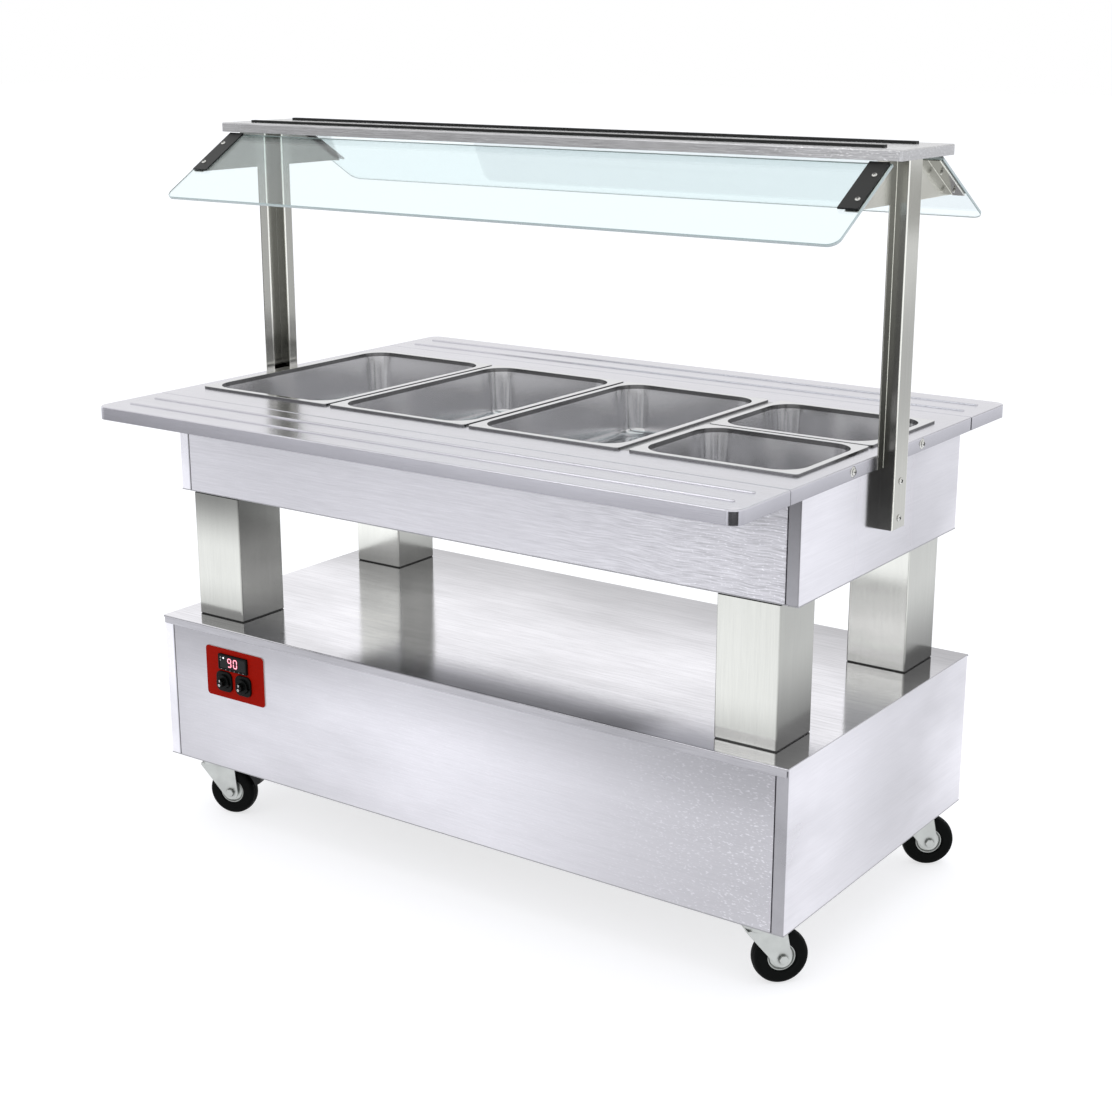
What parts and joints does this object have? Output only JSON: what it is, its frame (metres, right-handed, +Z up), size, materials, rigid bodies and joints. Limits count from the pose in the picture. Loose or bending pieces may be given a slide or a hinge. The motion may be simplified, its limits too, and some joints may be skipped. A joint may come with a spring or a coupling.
{
  "type": "mobile bain marie counter",
  "caption": "Stainless hot buffet counter on castors: a heated water well with lift-out pans under a glazed canopy, fold-down tray slides, and a base cabinet with controls.",
  "frame": {"origin": "on the floor, under the middle of the counter", "axes": "+X along the counter's length, to the right of a person at the controls; +Y to the back; +Z up"},
  "size_m": [1.494, 1.0256, 1.4025],
  "materials": {
    "brushed_stainless": "brushed along its length",
    "bright_stainless": "bright, nearly mirror",
    "satin_stainless": "satin",
    "plain_steel": "plain sheet",
    "bright_steel": "bright",
    "zinc_steel": "zinc plated",
    "plated_brass": "plated",
    "dark_trim": "dark grey",
    "black_metal": "black",
    "red_plate": "dark red, satin",
    "black_plastic": "black, satin",
    "black_tyre": "black rubber",
    "clear_glass": "clear, toughened"
  },
  "bodies": {
    "counter": {"base_front_panel": "brushed_stainless", "base_rear_panel": "brushed_stainless", "base_left_panel": "brushed_stainless", "base_right_panel": "brushed_stainless", "well_front_panel": "brushed_stainless", "well_rear_panel": "brushed_stainless", "well_left_panel": "brushed_stainless", "well_right_panel": "brushed_stainless", "upright_left": "brushed_stainless", "upright_right": "brushed_stainless", "counter_frame": "brushed_stainless", "canopy_top": "brushed_stainless", "base_deck": "bright_stainless", "water_tank": "bright_stainless", "pan_crossbars": "bright_stainless", "leg_front_left": "satin_stainless", "leg_front_right": "satin_stainless", "leg_rear_left": "satin_stainless", "leg_rear_right": "satin_stainless", "base_floor": "plain_steel", "well_floor": "plain_steel", "castor_channels": "plain_steel", "slide_hinges": "plain_steel", "heating_element": "plain_steel", "temperature_probe": "plain_steel", "drain_valve": "plated_brass", "screws": "bright_steel", "canopy_rails": "dark_trim", "glass_front": "clear_glass", "glass_rear": "clear_glass", "glass_clamps": "black_metal", "control_plate": "red_plate", "thermostat": "black_plastic", "switch_bodies": "black_plastic", "cable_gland": "black_plastic", "castor_plates": "zinc_steel"},
    "front_tray_slide": {"front_tray_slide": "brushed_stainless"},
    "rear_tray_slide": {"rear_tray_slide": "brushed_stainless"},
    "drain_lever": {"drain_lever": "plain_steel"},
    "knob_left": {"knob_left": "black_plastic"},
    "knob_right": {"knob_right": "black_plastic"},
    "pan_1": {"pan_1": "bright_stainless"},
    "pan_2": {"pan_2": "bright_stainless"},
    "pan_3": {"pan_3": "bright_stainless"},
    "half_pan_front": {"half_pan_front": "bright_stainless"},
    "half_pan_rear": {"half_pan_rear": "bright_stainless"},
    "castor_front_left": {"castor_fork_front_left": "zinc_steel"},
    "wheel_front_left": {"castor_rim_front_left": "zinc_steel", "castor_tyre_front_left": "black_tyre"},
    "castor_front_right": {"castor_fork_front_right": "zinc_steel"},
    "wheel_front_right": {"castor_rim_front_right": "zinc_steel", "castor_tyre_front_right": "black_tyre"},
    "castor_rear_left": {"castor_fork_rear_left": "zinc_steel"},
    "wheel_rear_left": {"castor_rim_rear_left": "zinc_steel", "castor_tyre_rear_left": "black_tyre"},
    "castor_rear_right": {"castor_fork_rear_right": "zinc_steel"},
    "wheel_rear_right": {"castor_rim_rear_right": "zinc_steel", "castor_tyre_rear_right": "black_tyre"},
    "brake_front_left": {"brake_pedal_front_left": "black_plastic"},
    "brake_rear_left": {"brake_pedal_rear_left": "black_plastic"}
  },
  "joints": [
    {"name": "swivel_front_left", "type": "hinge", "parent": "counter", "child": "castor_front_left", "pos_m": [-0.646, -0.297, 0.119], "axis": [0, 0, 1], "continuous": true},
    {"name": "roll_front_left", "type": "hinge", "parent": "castor_front_left", "child": "wheel_front_left", "pos_m": [-0.61271, -0.28618, 0.05], "axis": [-0.309, 0.9511, 0], "continuous": true},
    {"name": "swivel_front_right", "type": "hinge", "parent": "counter", "child": "castor_front_right", "pos_m": [0.646, -0.297, 0.119], "axis": [0, 0, 1], "continuous": true},
    {"name": "roll_front_right", "type": "hinge", "parent": "castor_front_right", "child": "wheel_front_right", "pos_m": [0.66942, -0.27099, 0.05], "axis": [-0.7431, 0.6691, 0], "continuous": true},
    {"name": "swivel_rear_left", "type": "hinge", "parent": "counter", "child": "castor_rear_left", "pos_m": [-0.646, 0.297, 0.119], "axis": [0, 0, 1], "continuous": true},
    {"name": "roll_rear_left", "type": "hinge", "parent": "castor_rear_left", "child": "wheel_rear_left", "pos_m": [-0.61428, 0.31179, 0.05], "axis": [-0.4226, 0.9063, 0], "continuous": true},
    {"name": "swivel_rear_right", "type": "hinge", "parent": "counter", "child": "castor_rear_right", "pos_m": [0.646, 0.297, 0.119], "axis": [0, 0, 1], "continuous": true},
    {"name": "roll_rear_right", "type": "hinge", "parent": "castor_rear_right", "child": "wheel_rear_right", "pos_m": [0.67358, 0.31855, 0.05], "axis": [-0.6157, 0.788, 0], "continuous": true},
    {"name": "brake_front_left", "type": "hinge", "parent": "castor_front_left", "child": "brake_front_left", "pos_m": [-0.60986, -0.28526, 0.112], "axis": [-0.309, 0.9511, 0], "range_deg": [0, 6]},
    {"name": "brake_rear_left", "type": "hinge", "parent": "castor_rear_left", "child": "brake_rear_left", "pos_m": [-0.61156, 0.31306, 0.112], "axis": [-0.4226, 0.9063, 0], "range_deg": [0, 6]},
    {"name": "front_slide_fold", "type": "hinge", "parent": "counter", "child": "front_tray_slide", "pos_m": [0, -0.3474, 0.8602], "axis": [1, 0, 0], "range_deg": [0, 90]},
    {"name": "rear_slide_fold", "type": "hinge", "parent": "counter", "child": "rear_tray_slide", "pos_m": [0, 0.3474, 0.8602], "axis": [-1, 0, 0], "range_deg": [0, 90]},
    {"name": "switch_left_turn", "type": "hinge", "parent": "counter", "child": "knob_left", "pos_m": [-0.554, -0.3542, 0.32], "axis": [0, -1, 0], "range_deg": [0, 60]},
    {"name": "switch_right_turn", "type": "hinge", "parent": "counter", "child": "knob_right", "pos_m": [-0.502, -0.3542, 0.32], "axis": [0, -1, 0], "range_deg": [0, 60]},
    {"name": "drain_lever_turn", "type": "hinge", "parent": "counter", "child": "drain_lever", "pos_m": [0.42, 0.1723, 0.655], "axis": [0, 1, 0], "range_deg": [0, 90]},
    {"name": "pan_1_lift", "type": "slide", "parent": "counter", "child": "pan_1", "axis": [0, 0, 1], "range_m": [0, 0.16]},
    {"name": "pan_2_lift", "type": "slide", "parent": "counter", "child": "pan_2", "axis": [0, 0, 1], "range_m": [0, 0.16]},
    {"name": "pan_3_lift", "type": "slide", "parent": "counter", "child": "pan_3", "axis": [0, 0, 1], "range_m": [0, 0.16]},
    {"name": "half_pan_front_lift", "type": "slide", "parent": "counter", "child": "half_pan_front", "axis": [0, 0, 1], "range_m": [0, 0.16]},
    {"name": "half_pan_rear_lift", "type": "slide", "parent": "counter", "child": "half_pan_rear", "axis": [0, 0, 1], "range_m": [0, 0.16]}
  ]
}
